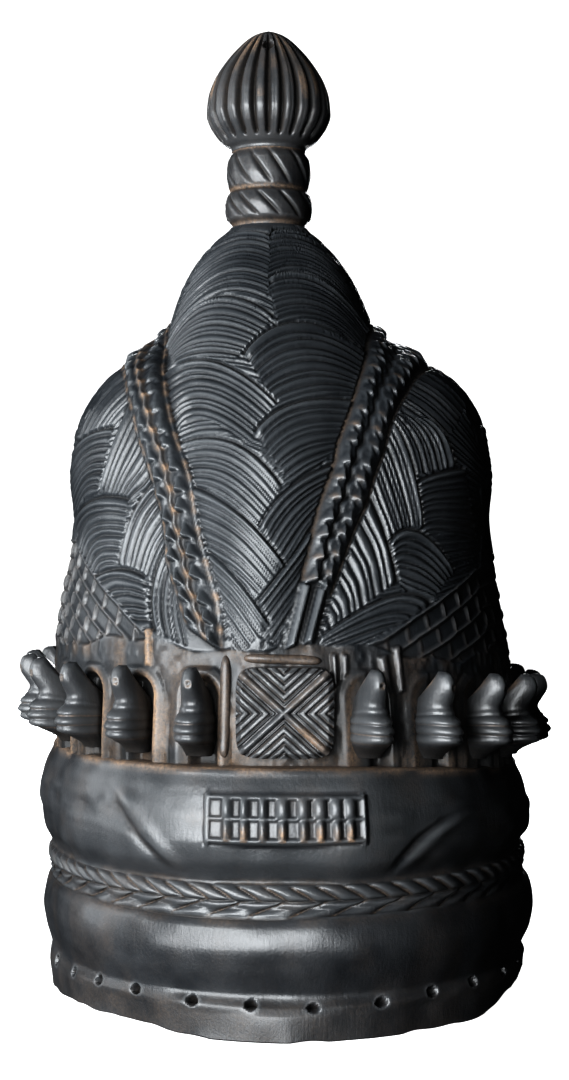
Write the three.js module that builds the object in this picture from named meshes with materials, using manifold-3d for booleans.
// A carved wooden helmet mask, worn over the head, in millimetres with +Z up.
// It stands on its rim at z = 0. The face looks along +Y, and the back of the hair along -Y.
// The real one is carved from a single block, so the model is one solid: a hollow helmet with
// neck rings, a row of bound horns, a crested hairdress with plaited bands, a face and a finial.
// Angles go round the vertical axis in degrees: 0 is the back, 90 is +X and 180 is the face.
import * as THREE from "three";
import { mergeVertices } from "three/addons/utils/BufferGeometryUtils.js";
import Module from "manifold-3d";

const wasm = await Module();
wasm.setup();

// Neck: the rim collar, two fat rings and the plaited band between them
const NECK_HEIGHT = 105;
const NECK_HALF_WIDTH = 108.4;
const NECK_HALF_DEPTH = 126;
const NECK_WALL = 10;

// Head: hair and face, from the ledge over the neck rings up to the foot of the finial
const HEAD_HEIGHT = 227;
const HEAD_HALF_WIDTH = 94;
const HEAD_BACK_DEPTH = 100;
const HEAD_FRONT_DEPTH = 98;
const HEAD_WALL = 17;
const CREST_HALF_WIDTH = 62;
const CREST_BACK_DEPTH = 109;
const CREST_FRONT_DEPTH = 94;
const CREST_TURN = -5.5;
const VALLEY_ROUNDING = 5;
const CROWN_LEAN = -7.4;
const RIM_OFFSET = 1.6;
const ROW_DROP = 9;

// Plaited bands that lie in the two valleys of the hair
const BAND_WIDTH = 19;
const BAND_RISE = 4;

// Face
const FACE_HALF_WIDTH = 88;
const FACE_DEPTH = 98;
const FACE_OVAL_HALF_WIDTH = 60;
const FACE_OVAL_HALF_HEIGHT = 72;
const FACE_OVAL_HEIGHT = 180;
const NOSE_HEIGHT = 153;
const NOSE_LENGTH = 40;
const NOSE_RISE = 12;
const MOUTH_HEIGHT = 135;
const MOUTH_HALF_WIDTH = 14;
const EYE_HEIGHT = 178;
const EYE_OUT = 24;
const EYE_LID_HALF_WIDTH = 16;
const SLIT_WIDTH = 25;
const SLIT_HEIGHT = 3.4;
const EAR_HEIGHT = 166;
const EAR_ANGLE = 133;
const EAR_LENGTH = 34;
const EAR_WIDTH = 16;
const EAR_RISE = 7;

// Cavity for the head
const CAVITY_HEIGHT = 262;

// Row of bound horns round the head, and the square tablet in its middle
const HORNS_EACH_SIDE = 8;
const HORN_FIRST_ANGLE = 17.5;
const HORN_PITCH = 14.8;
const HORN_HEIGHT = 35;
const HORN_RISE = 17;
const HORN_HALF_WIDTH = 9;
const HORN_FOOT = 3;
const TABLET_WIDTH = 38;
const TABLET_HEIGHT = 35;
const TABLET_RISE = 10;
const TABLET_CORNER = 7;
const TABLET_FOOT = 3;

// Small panel with a grid on the upper neck ring
const PANEL_WIDTH = 57;
const PANEL_HEIGHT = 16.5;
const PANEL_RISE = 1.5;
const PANEL_MIDDLE = 85.6;

// Holes for the fibre collar round the rim
const RIM_HOLES = 30;
const RIM_HOLE_RADIUS = 1.8;
const RIM_HOLE_HEIGHT = 16.5;
const RIM_HOLE_TURN = -7;

// Finial: two cushion collars and a fluted bud with a hanging hole near its tip
const FINIAL_HEIGHT = 88;
const BUD_RADIUS = 27.6;
const COLLAR_RADIUS = 19.6;
const BUD_FLUTES = 11;
const FLUTE_DEPTH = 1.2;
const BUD_HOLE_RADIUS = 1.9;
const BUD_HOLE_BELOW_TIP = 9.5;

const WOOD = new THREE.MeshStandardMaterial({ color: 0x17181a, roughness: 0.38, metalness: 0 });

const HEAD_TOP = NECK_HEIGHT + HEAD_HEIGHT;
const SEAT = 3; // how deep an added solid is rooted in the wood before it is joined
const radians = THREE.MathUtils.degToRad;
const { clamp, smoothstep } = THREE.MathUtils;
const bump = (x, halfWidth) => Math.exp(-((x / halfWidth) ** 2));

// Neck sections: shares of NECK_HEIGHT, NECK_HALF_WIDTH and NECK_HALF_DEPTH
const NECK_SECTIONS = [
  { up: 0, width: 0.958, back: 0.966, front: 0.93 },
  { up: 0.12, width: 0.966, back: 0.97, front: 0.938 },
  { up: 0.165, width: 0.956, back: 0.955, front: 0.922 },
  { up: 0.2, width: 0.966, back: 0.966, front: 0.934 },
  { up: 0.26, width: 0.988, back: 0.986, front: 0.956 },
  { up: 0.342, width: 1, back: 1, front: 0.97 },
  { up: 0.42, width: 0.986, back: 0.988, front: 0.956 },
  { up: 0.48, width: 0.951, back: 0.951, front: 0.92 },
  { up: 0.505, width: 0.964, back: 0.963, front: 0.93 },
  { up: 0.555, width: 0.964, back: 0.961, front: 0.93 },
  { up: 0.574, width: 0.95, back: 0.949, front: 0.918 },
  { up: 0.66, width: 0.988, back: 0.99, front: 0.956 },
  { up: 0.735, width: 0.996, back: 1, front: 0.966 },
  { up: 0.83, width: 0.986, back: 0.992, front: 0.958 },
  { up: 0.92, width: 0.968, back: 0.976, front: 0.942 },
  { up: 0.985, width: 0.945, back: 0.955, front: 0.92 },
];

// Head sections: shares of HEAD_HEIGHT and of the head's half width and depths, without the crest
const HEAD_SECTIONS = [
  { up: 0.012, width: 1.069, back: 1.115, front: 1.04 },
  { up: 0.1, width: 1.068, back: 1.09, front: 1.03 },
  { up: 0.196, width: 1.071, back: 1.06, front: 1 },
  { up: 0.273, width: 1.043, back: 1.01, front: 0.97 },
  { up: 0.35, width: 1.005, back: 0.96, front: 0.94 },
  { up: 0.427, width: 0.982, back: 0.92, front: 0.91 },
  { up: 0.504, width: 0.999, back: 0.87, front: 0.87 },
  { up: 0.58, width: 0.976, back: 0.8, front: 0.8 },
  { up: 0.62, width: 0.949, back: 0.755, front: 0.75 },
  { up: 0.658, width: 0.901, back: 0.69, front: 0.68 },
  { up: 0.698, width: 0.823, back: 0.59, front: 0.58 },
  { up: 0.736, width: 0.68, back: 0.45, front: 0.44 },
  { up: 0.776, width: 0.47, back: 0.3, front: 0.3 },
  { up: 1, width: 0.1, back: 0.08, front: 0.08 },
];

// Crest sections: shares of HEAD_HEIGHT, CREST_HALF_WIDTH and the crest's two depths
const CREST_SECTIONS = [
  { up: 0, width: 0.7, back: 0.93, front: 0.98 },
  { up: 0.15, width: 0.71, back: 0.975, front: 0.98 },
  { up: 0.21, width: 0.73, back: 1, front: 0.98 },
  { up: 0.31, width: 0.79, back: 0.988, front: 0.985 },
  { up: 0.385, width: 0.855, back: 0.965, front: 0.985 },
  { up: 0.463, width: 0.927, back: 0.925, front: 0.98 },
  { up: 0.53, width: 0.985, back: 0.88, front: 0.975 },
  { up: 0.58, width: 1, back: 0.83, front: 0.945 },
  { up: 0.64, width: 0.97, back: 0.77, front: 0.885 },
  { up: 0.68, width: 0.92, back: 0.725, front: 0.82 },
  { up: 0.73, width: 0.85, back: 0.665, front: 0.745 },
  { up: 0.797, width: 0.742, back: 0.56, front: 0.622 },
  { up: 0.859, width: 0.658, back: 0.459, front: 0.517 },
  { up: 0.9, width: 0.587, back: 0.376, front: 0.433 },
  { up: 0.938, width: 0.494, back: 0.294, front: 0.345 },
  { up: 0.96, width: 0.42, back: 0.248, front: 0.3 },
  { up: 0.98, width: 0.345, back: 0.2, front: 0.245 },
  { up: 1, width: 0.274, back: 0.156, front: 0.189 },
];

// Face profile: shares of HEAD_HEIGHT and FACE_DEPTH
const FACE_SECTIONS = [
  { up: 0, depth: 1.0 },
  { up: 0.035, depth: 1.035 },
  { up: 0.06, depth: 1.05 },
  { up: 0.11, depth: 1.032 },
  { up: 0.18, depth: 1.01 },
  { up: 0.26, depth: 0.975 },
  { up: 0.32, depth: 0.955 },
  { up: 0.385, depth: 0.985 },
  { up: 0.45, depth: 0.995 },
  { up: 0.53, depth: 0.965 },
  { up: 0.6, depth: 0.9 },
  { up: 0.66, depth: 0.81 },
  { up: 0.75, depth: 0.62 },
];

// Sideways drift of the hand-carved block: shares of the whole height to the finial's foot, and of
// RIM_OFFSET at the rim and CROWN_LEAN at the crown
const DRIFT_SECTIONS = [
  { up: 0, rim: 1, crown: 0 },
  { up: 0.3, rim: 0.1, crown: 0.03 },
  { up: 0.55, rim: 0, crown: 0.2 },
  { up: 0.78, rim: 0, crown: 0.28 },
  { up: 0.86, rim: 0, crown: 0.8 },
  { up: 1, rim: 0, crown: 1 },
];

// Cavity sections: shares of CAVITY_HEIGHT, and of the half width and depth of the room at the rim
const CAVITY_SECTIONS = [
  { up: 0, width: 1, depth: 1 },
  { up: 0.3, width: 0.985, depth: 0.965 },
  { up: 0.42, width: 0.95, depth: 0.84 },
  { up: 0.58, width: 0.93, depth: 0.76 },
  { up: 0.76, width: 0.84, depth: 0.66 },
  { up: 0.88, width: 0.68, depth: 0.52 },
  { up: 0.96, width: 0.42, depth: 0.32 },
];

// Where a plaited band runs: degrees from the crest's middle, and shares of HEAD_HEIGHT
const BAND_PATH = [
  { angle: 7, up: 0.13 },
  { angle: 10.5, up: 0.21 },
  { angle: 13.5, up: 0.31 },
  { angle: 18, up: 0.385 },
  { angle: 26, up: 0.53 },
  { angle: 41, up: 0.64 },
  { angle: 59, up: 0.718 },
  { angle: 75, up: 0.757 },
  { angle: 90, up: 0.772 },
  { angle: 105, up: 0.762 },
  { angle: 122, up: 0.728 },
  { angle: 141, up: 0.66 },
];

// Horn outline from the ledge up: shares of HORN_HEIGHT, HORN_RISE and HORN_HALF_WIDTH
const HORN_SECTIONS = [
  { up: 0, rise: 0.5, width: 0.8 },
  { up: 0.12, rise: 0.92, width: 0.98 },
  { up: 0.28, rise: 1, width: 1 },
  { up: 0.47, rise: 0.72, width: 0.88 },
  { up: 0.57, rise: 0.72, width: 0.92 },
  { up: 0.84, rise: 0.84, width: 0.66 },
  { up: 1, rise: 0.78, width: 0.3 },
];

// Finial outline from its foot up: shares of FINIAL_HEIGHT, with the radius as a share of
// COLLAR_RADIUS on the collars and of BUD_RADIUS on the bud
const COLLAR_OUTLINE = [
  { up: -0.06, radius: 0.78 },
  { up: 0.008, radius: 0.83 },
  { up: 0.04, radius: 0.96 },
  { up: 0.1, radius: 1 },
  { up: 0.155, radius: 0.95 },
  { up: 0.178, radius: 0.88 },
  { up: 0.205, radius: 0.92 },
  { up: 0.26, radius: 0.96 },
  { up: 0.33, radius: 0.94 },
  { up: 0.385, radius: 0.83 },
];
const BUD_OUTLINE = [
  { up: 0.405, radius: 0.66 },
  { up: 0.455, radius: 0.82 },
  { up: 0.51, radius: 0.94 },
  { up: 0.57, radius: 1 },
  { up: 0.65, radius: 0.98 },
  { up: 0.74, radius: 0.89 },
  { up: 0.83, radius: 0.71 },
  { up: 0.91, radius: 0.49 },
  { up: 0.965, radius: 0.29 },
  { up: 0.99, radius: 0.12 },
];

// Value of one named column at a place on another, on a smooth curve that never overshoots its rows
function along(rows, column, place, key = "up") {
  const last = rows.length - 1;
  if (place <= rows[0][key]) return rows[0][column];
  if (place >= rows[last][key]) return rows[last][column];
  const i = rows.findIndex((row, n) => n < last && place < rows[n + 1][key]);
  const slope = (n) =>
    n < 0 || n >= last ? 0 : (rows[n + 1][column] - rows[n][column]) / (rows[n + 1][key] - rows[n][key]);
  const tangent = (n) => {
    const before = slope(n - 1);
    const after = slope(n);
    return before * after <= 0 ? 0 : (2 * before * after) / (before + after);
  };
  const span = rows[i + 1][key] - rows[i][key];
  const t = (place - rows[i][key]) / span;
  return (
    (2 * t ** 3 - 3 * t ** 2 + 1) * rows[i][column] +
    (t ** 3 - 2 * t ** 2 + t) * span * tangent(i) +
    (3 * t ** 2 - 2 * t ** 3) * rows[i + 1][column] +
    (t ** 3 - t ** 2) * span * tangent(i + 1)
  );
}

// Distance from the axis to an oval, in a direction given in degrees from the back
function oval(angle, halfWidth, back, front, power = 2) {
  const depth = Math.abs(angle) <= 90 ? back : front;
  const sideways = Math.abs(Math.sin(radians(angle)) / halfWidth) ** power;
  const lengthways = Math.abs(Math.cos(radians(angle)) / depth) ** power;
  return (sideways + lengthways) ** (-1 / power);
}

const smoothMax = (a, b, rounding) => {
  const mix = clamp(0.5 + (0.5 * (a - b)) / rounding, 0, 1);
  return b + (a - b) * mix + rounding * mix * (1 - mix);
};

// Rings of the neck
function neckRadius(angle, z) {
  const up = z / NECK_HEIGHT;
  return oval(
    angle,
    NECK_HALF_WIDTH * along(NECK_SECTIONS, "width", up),
    NECK_HALF_DEPTH * along(NECK_SECTIONS, "back", up),
    NECK_HALF_DEPTH * along(NECK_SECTIONS, "front", up),
  );
}

// The crest's middle is turned a little at the back and straight at the front
const crestTurn = (angle) => CREST_TURN * Math.cos(radians(angle / 2)) ** 2;

// Hair: two side lobes with the crest between them
function hairRadius(angle, z) {
  const up = (z - NECK_HEIGHT) / HEAD_HEIGHT;
  const lobes = oval(
    angle,
    HEAD_HALF_WIDTH * along(HEAD_SECTIONS, "width", up),
    HEAD_BACK_DEPTH * along(HEAD_SECTIONS, "back", up),
    HEAD_FRONT_DEPTH * along(HEAD_SECTIONS, "front", up),
    2.2,
  );
  const crest = oval(
    angle - crestTurn(angle),
    CREST_HALF_WIDTH * along(CREST_SECTIONS, "width", up),
    CREST_BACK_DEPTH * along(CREST_SECTIONS, "back", up),
    CREST_FRONT_DEPTH * along(CREST_SECTIONS, "front", up),
  );
  return smoothMax(lobes, crest, VALLEY_ROUNDING);
}

// Features of the face, as how far each stands out of it
function faceRise(across, z) {
  const downNose = clamp((NOSE_HEIGHT + NOSE_LENGTH - z) / NOSE_LENGTH, 0, 1.25);
  const noseFoot = smoothstep(z, NOSE_HEIGHT - 6, NOSE_HEIGHT - 1);
  const nose = NOSE_RISE * downNose ** 1.3 * noseFoot * bump(across, 4.5 + 5 * downNose ** 3);
  const side = Math.abs(across) - EYE_OUT;
  const lid = 4.5 * bump(side, EYE_LID_HALF_WIDTH) * bump(z - EYE_HEIGHT, 9);
  const brow = 2.5 * bump(side, 1.3 * EYE_LID_HALF_WIDTH) * bump(z - EYE_HEIGHT - 15 + (side / 12) ** 2, 4);
  const lips = 4.5 * bump(across, MOUTH_HALF_WIDTH) * bump(z - MOUTH_HEIGHT, 5.5);
  const chin = 3 * bump(across, 16) * bump(z - MOUTH_HEIGHT + 18, 8);
  return nose + lid + brow + lips + chin;
}

// The face is let into the hair inside an oval line
function headRadius(angle, z) {
  const hair = hairRadius(angle, z);
  const turn = 180 - Math.abs(angle);
  const across = radians(turn) * FACE_DEPTH * Math.sign(angle || 1);
  const out = Math.hypot(across / FACE_OVAL_HALF_WIDTH, (z - FACE_OVAL_HEIGHT) / FACE_OVAL_HALF_HEIGHT);
  if (turn > 90 || out > 1.1) return hair;
  const depth = FACE_DEPTH * along(FACE_SECTIONS, "depth", (z - NECK_HEIGHT) / HEAD_HEIGHT);
  const face = oval(angle, FACE_HALF_WIDTH, depth, depth) + faceRise(across, z);
  return face + (hair - face) * smoothstep(out, 0.97, 1.06);
}

const outerRadius = (angle, z) => (z < NECK_HEIGHT ? neckRadius(angle, z) : headRadius(angle, z));

const drift = (z) =>
  RIM_OFFSET * along(DRIFT_SECTIONS, "rim", z / HEAD_TOP) +
  CROWN_LEAN * along(DRIFT_SECTIONS, "crown", z / HEAD_TOP);

// The horn row and the ring under it run lower on the right-hand side
function dropped(angle, z) {
  const right = Math.max(0, Math.sin(radians(angle))) ** 2;
  const near =
    smoothstep(z, 0.57 * NECK_HEIGHT, 0.9 * NECK_HEIGHT) *
    (1 - smoothstep(z, NECK_HEIGHT + HORN_HEIGHT, NECK_HEIGHT + 0.42 * HEAD_HEIGHT));
  return z - ROW_DROP * right * near;
}

// A point at a distance outside the carved surface
function surfacePoint(angle, z, out = 0) {
  const radius = outerRadius(angle, z) + out;
  return new THREE.Vector3(
    drift(z) + radius * Math.sin(radians(angle)),
    -radius * Math.cos(radians(angle)),
    dropped(angle, z),
  );
}

// Closed solid through rings of points, each ring going the same way round, lowest ring first
function ringSolid(rings) {
  const sides = rings[0].length;
  const middle = (ring) =>
    ring.reduce((sum, p) => sum.add(p), new THREE.Vector3()).divideScalar(sides);
  const points = [...rings.flat(), middle(rings[0]), middle(rings[rings.length - 1])];
  const bottom = rings.length * sides;
  const top = bottom + 1;
  const faces = [];
  for (let i = 0; i < sides; i++) {
    const next = (i + 1) % sides;
    faces.push(bottom, next, i);
    for (let level = 0; level < rings.length - 1; level++) {
      const here = level * sides;
      const above = here + sides;
      faces.push(here + i, here + next, above + next, here + i, above + next, above + i);
    }
    faces.push(top, top - 2 - sides + 1 + i, top - 2 - sides + 1 + next);
  }
  const geometry = new THREE.BufferGeometry();
  geometry.setAttribute("position", new THREE.Float32BufferAttribute(points.flatMap((p) => [...p]), 3));
  geometry.setIndex(faces);
  return solidOf(geometry);
}

// A three.js geometry as a solid that can be joined and cut
function solidOf(geometry) {
  const bare = geometry.index ? geometry.toNonIndexed() : geometry.clone();
  bare.deleteAttribute("normal");
  bare.deleteAttribute("uv");
  const merged = mergeVertices(bare, 1e-4);
  return new wasm.Manifold(
    new wasm.Mesh({
      numProp: 3,
      vertProperties: merged.attributes.position.array,
      triVerts: new Uint32Array(merged.index.array),
    }),
  );
}

function geometryOf(solid) {
  const mesh = solid.getMesh();
  const geometry = new THREE.BufferGeometry();
  geometry.setAttribute("position", new THREE.BufferAttribute(new Float32Array(mesh.vertProperties), 3));
  geometry.setIndex(new THREE.BufferAttribute(new Uint32Array(mesh.triVerts), 1));
  geometry.computeVertexNormals();
  return geometry;
}

// Directions round the mask: close together over the face, wider over the hair
function directions() {
  const faceHalf = 36;
  const faceSteps = 16;
  const hairSteps = 38;
  const angles = [];
  for (let i = 0; i < hairSteps; i++)
    angles.push(-180 + faceHalf + ((360 - 2 * faceHalf) * i) / hairSteps);
  for (let i = 0; i < faceSteps; i++) {
    const share = (2 * i) / faceSteps - 1;
    const angle = 180 + faceHalf * share * (0.6 + 0.4 * share ** 2);
    angles.push(angle > 180 ? angle - 360 : angle);
  }
  return angles;
}

// Heights of the rings of points: each neck section, and even steps that close up over the shoulders
function levels() {
  const neck = NECK_SECTIONS.map((section) => section.up * NECK_HEIGHT);
  const faceRows = 14;
  const shoulderRows = 8;
  const crownRows = 5;
  const shoulder = 0.58;
  const crown = 0.8;
  const head = [HEAD_SECTIONS[0].up];
  for (let i = 1; i <= faceRows; i++)
    head.push(head[0] + ((shoulder - head[0]) * i) / faceRows);
  for (let i = 1; i <= shoulderRows; i++) head.push(shoulder + ((crown - shoulder) * i) / shoulderRows);
  for (let i = 1; i <= crownRows; i++) head.push(crown + ((1 - crown) * i) / crownRows);
  return [...neck, ...head.map((up) => NECK_HEIGHT + up * HEAD_HEIGHT)];
}

function helmet() {
  const angles = directions();
  return ringSolid(levels().map((z) => angles.map((angle) => surfacePoint(angle, z))));
}

function cavity() {
  const sides = 28;
  const halfWidth = NECK_SECTIONS[0].width * NECK_HALF_WIDTH - NECK_WALL;
  const halfDepth =
    (0.5 * (NECK_SECTIONS[0].back + NECK_SECTIONS[0].front)) * NECK_HALF_DEPTH - NECK_WALL;
  const middle = 0.5 * (NECK_SECTIONS[0].front - NECK_SECTIONS[0].back) * NECK_HALF_DEPTH;
  const headHalfWidth = HEAD_SECTIONS[4].width * HEAD_HALF_WIDTH - HEAD_WALL;
  const narrowing = Math.min(1, headHalfWidth / (0.93 * halfWidth));
  const rings = CAVITY_SECTIONS.map(({ up, width, depth }, level) => {
    const z = up * CAVITY_HEIGHT;
    const squeeze = up < 0.5 ? 1 : narrowing;
    const ring = [];
    for (let i = 0; i < sides; i++) {
      const turn = (2 * Math.PI * i) / sides;
      ring.push(
        new THREE.Vector3(
          drift(z) + squeeze * width * halfWidth * Math.sin(turn),
          middle - depth * halfDepth * Math.cos(turn),
          level === 0 ? -SEAT : z,
        ),
      );
    }
    return ring;
  });
  rings.push(rings[0].map(() => new THREE.Vector3(drift(CAVITY_HEIGHT), middle, CAVITY_HEIGHT)));
  return ringSolid(rings);
}

// A plaited band: a half-round strip that follows the valley beside the crest
function band(side) {
  const steps = 15;
  const sides = 4;
  const last = BAND_PATH.length - 1;
  const centre = (share) => {
    const angle = BAND_PATH[0].angle + share * (BAND_PATH[last].angle - BAND_PATH[0].angle);
    return { angle, z: NECK_HEIGHT + HEAD_HEIGHT * along(BAND_PATH, "up", angle, "angle") };
  };
  const rings = [];
  for (let i = 0; i <= steps; i++) {
    const share = (i / steps) ** 1.25;
    const here = centre(share);
    const before = centre(Math.max(0, share - 0.01));
    const after = centre(Math.min(1, share + 0.01));
    const radius = outerRadius(side * here.angle, here.z);
    const run = radians(after.angle - before.angle) * radius;
    const climb = after.z - before.z;
    const length = Math.hypot(run, climb);
    const ring = [];
    for (let k = 0; k < sides; k++) {
      const turn = (Math.PI * k) / (sides - 1) - Math.PI / 2;
      const across = (BAND_WIDTH * Math.sin(turn)) / 2;
      const away = THREE.MathUtils.radToDeg((across * climb) / length / radius);
      const angle = side * here.angle + crestTurn(side * here.angle) + away;
      const z = here.z - (side * across * run) / length;
      ring.push(surfacePoint(angle, z, (BAND_RISE + SEAT) * Math.cos(turn) - SEAT));
    }
    const turned = side * here.angle + crestTurn(side * here.angle);
    ring.push(surfacePoint(turned, here.z, -3 * SEAT));
    rings.push(ring);
  }
  return ringSolid(rings);
}

// One bound horn: a bullet that leans out over a ribbed foot
function horn(angle) {
  const sides = 6;
  const foot = NECK_HEIGHT + HORN_FOOT;
  const squareness = 0.7;
  const rings = HORN_SECTIONS.map(({ up, rise, width }) => {
    const z = foot + up * HORN_HEIGHT;
    const ring = [];
    for (let i = 0; i < sides; i++) {
      const turn = (Math.PI * i) / (sides - 1) - Math.PI / 2;
      const across = width * HORN_HALF_WIDTH * Math.sin(turn);
      const out = (rise * HORN_RISE + SEAT) * Math.abs(Math.cos(turn)) ** squareness - SEAT;
      ring.push(surfacePoint(angle + THREE.MathUtils.radToDeg(across / neckRadius(angle, foot)), z, out));
    }
    return ring;
  });
  return ringSolid(rings);
}

// A square tablet with rounded corners and edges at the middle of the back
function tablet() {
  const w = TABLET_WIDTH / 2;
  const h = TABLET_HEIGHT / 2;
  const c = TABLET_CORNER;
  const edge = 2;
  const shape = new THREE.Shape();
  shape.moveTo(c - w, -h);
  shape.lineTo(w - c, -h);
  shape.quadraticCurveTo(w, -h, w, c - h);
  shape.lineTo(w, h - c);
  shape.quadraticCurveTo(w, h, w - c, h);
  shape.lineTo(c - w, h);
  shape.quadraticCurveTo(-w, h, -w, h - c);
  shape.lineTo(-w, c - h);
  shape.quadraticCurveTo(-w, -h, c - w, -h);
  const wall = outerRadius(0, NECK_HEIGHT + TABLET_FOOT + TABLET_HEIGHT / 2);
  const geometry = new THREE.ExtrudeGeometry(shape, {
    depth: TABLET_RISE + SEAT * 2 - edge,
    curveSegments: 3,
    bevelThickness: edge,
    bevelSize: edge,
    bevelOffset: -edge,
    bevelSegments: 1,
  });
  geometry.rotateX(Math.PI / 2);
  geometry.translate(
    drift(NECK_HEIGHT),
    -(wall - SEAT * 2),
    NECK_HEIGHT + TABLET_FOOT + TABLET_HEIGHT / 2,
  );
  return solidOf(geometry);
}

// A curved plate on the upper neck ring
function panel() {
  const columns = 8;
  const rings = [];
  for (let i = 0; i <= columns; i++) {
    const across = PANEL_WIDTH * (i / columns - 0.5);
    const angle = THREE.MathUtils.radToDeg(across / neckRadius(0, PANEL_MIDDLE));
    const low = PANEL_MIDDLE - PANEL_HEIGHT / 2;
    const high = PANEL_MIDDLE + PANEL_HEIGHT / 2;
    const middle = (PANEL_MIDDLE + high) / 2;
    rings.push([
      surfacePoint(angle, low, -SEAT),
      surfacePoint(angle, high, -SEAT),
      surfacePoint(angle, high, PANEL_RISE),
      surfacePoint(angle, middle, PANEL_RISE),
      surfacePoint(angle, low, PANEL_RISE),
    ]);
  }
  return ringSolid(rings);
}

// An ear: a half-round fold beside the face
function ear(side) {
  const sides = 6;
  const steps = 6;
  const rings = [];
  for (let i = 0; i <= steps; i++) {
    const share = i / steps;
    const z = EAR_HEIGHT + EAR_LENGTH * (share - 0.5);
    const swell = Math.sqrt(Math.max(0.08, 1 - (2 * share - 1) ** 2));
    const ring = [];
    for (let k = 0; k < sides; k++) {
      const turn = (Math.PI * k) / (sides - 1) - Math.PI / 2;
      const across = 0.5 * EAR_WIDTH * swell * Math.sin(turn);
      const angle = side * EAR_ANGLE + THREE.MathUtils.radToDeg(across / HEAD_HALF_WIDTH);
      ring.push(surfacePoint(angle, z, (EAR_RISE * swell + SEAT) * Math.cos(turn) - SEAT));
    }
    rings.push(ring);
  }
  return ringSolid(rings);
}

// The finial, with shallow flutes on its bud
function finial() {
  const sides = 2 * BUD_FLUTES;
  const lean = drift(HEAD_TOP);
  const ringAt = (z, radius, flute) =>
    Array.from({ length: sides }, (_, i) => {
      const turn = (2 * Math.PI * i) / sides;
      const r = radius - (i % 2) * flute;
      return new THREE.Vector3(lean + r * Math.sin(turn), -r * Math.cos(turn), z);
    });
  const at = ({ up }) => HEAD_TOP + up * FINIAL_HEIGHT;
  const collars = COLLAR_OUTLINE.map((row) => ringAt(at(row), row.radius * COLLAR_RADIUS, 0));
  const bud = BUD_OUTLINE.map((row) => {
    const radius = row.radius * BUD_RADIUS;
    return ringAt(at(row), radius, FLUTE_DEPTH * Math.min(1, (2 * radius) / BUD_RADIUS - 0.5));
  });
  const tip = ringAt(HEAD_TOP + FINIAL_HEIGHT, 0.5, 0);
  return ringSolid([...collars, ...bud, tip]);
}

// A round drill laid along a horizontal direction
function drill(radius, length, angle, centre) {
  const sides = 6;
  const geometry = new THREE.CylinderGeometry(radius, radius, length, sides);
  geometry.rotateZ(radians(angle));
  geometry.translate(centre.x, centre.y, centre.z);
  return solidOf(geometry);
}

function rimHoles() {
  const reach = 4 * NECK_WALL;
  return Array.from({ length: RIM_HOLES }, (_, i) => {
    const turn = RIM_HOLE_TURN + (360 * i) / RIM_HOLES;
    const angle = turn > 180 ? turn - 360 : turn;
    return drill(RIM_HOLE_RADIUS, reach, angle, surfacePoint(angle, RIM_HOLE_HEIGHT));
  });
}

// An eye slit: a lens that is cut right through the wall
function eyeSlit(side) {
  const reach = 2 * HEAD_WALL + NOSE_RISE;
  const shape = new THREE.Shape();
  shape.moveTo(-SLIT_WIDTH / 2, 0);
  shape.quadraticCurveTo(0, -SLIT_HEIGHT, SLIT_WIDTH / 2, 0);
  shape.quadraticCurveTo(0, SLIT_HEIGHT, -SLIT_WIDTH / 2, 0);
  const geometry = new THREE.ExtrudeGeometry(shape, { depth: 2 * reach, curveSegments: 6, bevelEnabled: false });
  geometry.rotateX(Math.PI / 2);
  geometry.translate(drift(EYE_HEIGHT) + side * EYE_OUT, FACE_DEPTH + reach, EYE_HEIGHT);
  return solidOf(geometry);
}

function budHole() {
  const z = HEAD_TOP + FINIAL_HEIGHT - BUD_HOLE_BELOW_TIP;
  return drill(BUD_HOLE_RADIUS, 4 * BUD_RADIUS, 0, new THREE.Vector3(drift(HEAD_TOP), 0, z));
}

function mask() {
  const horns = [];
  for (let i = 0; i < HORNS_EACH_SIDE; i++) {
    const angle = HORN_FIRST_ANGLE + i * HORN_PITCH;
    horns.push(horn(angle), horn(-angle));
  }
  const added = [helmet(), finial(), band(1), band(-1), tablet(), panel(), ear(1), ear(-1), ...horns];
  const removed = [cavity(), eyeSlit(1), eyeSlit(-1), budHole(), ...rimHoles()];
  const whole = added.reduce((sum, solid) => sum.add(solid));
  return removed.reduce((rest, solid) => rest.subtract(solid), whole);
}

const geometry = geometryOf(mask());
geometry.computeBoundingBox();
const middle = geometry.boundingBox.getCenter(new THREE.Vector3());
const helmetMask = new THREE.Mesh(geometry, WOOD);
helmetMask.name = "helmet_mask";
helmetMask.position.set(-middle.x, -middle.y, 0);

const model = new THREE.Group();
model.add(helmetMask);
export default model;
